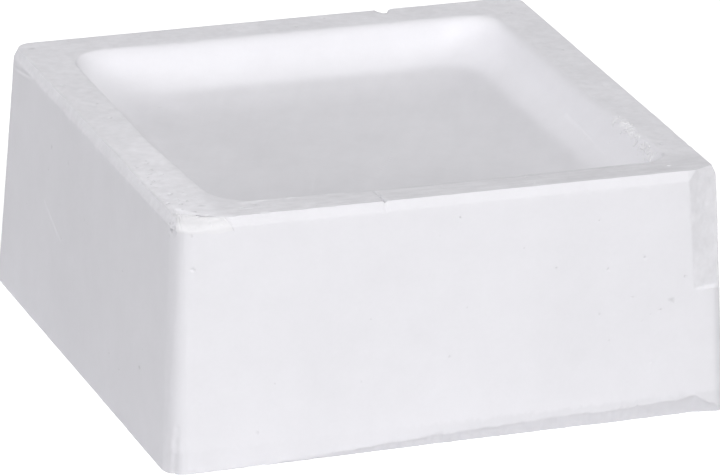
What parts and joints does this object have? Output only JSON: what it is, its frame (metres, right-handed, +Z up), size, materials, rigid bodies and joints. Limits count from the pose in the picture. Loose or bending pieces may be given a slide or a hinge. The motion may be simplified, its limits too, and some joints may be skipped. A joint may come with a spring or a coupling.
{
  "type": "gymnastics chalk block",
  "caption": "Square pressed chalk block with leaning walls and a shallow dish in its top, used to dry a gymnast's hands before gripping apparatus.",
  "frame": {"origin": "centre of the foot, on the surface the block stands on", "axes": "+Z up out of the dish, +X along the front wall to the right, +Y towards the back wall"},
  "size_m": [0.058, 0.058, 0.0259],
  "materials": {
    "chalk_body": "matte",
    "chalk_chip": "matte",
    "chalk_crumb": "matte"
  },
  "bodies": {
    "root": {"block": "chalk_body", "corner_chip": "chalk_chip", "rim_crumbs": "chalk_crumb"}
  },
  "joints": []
}
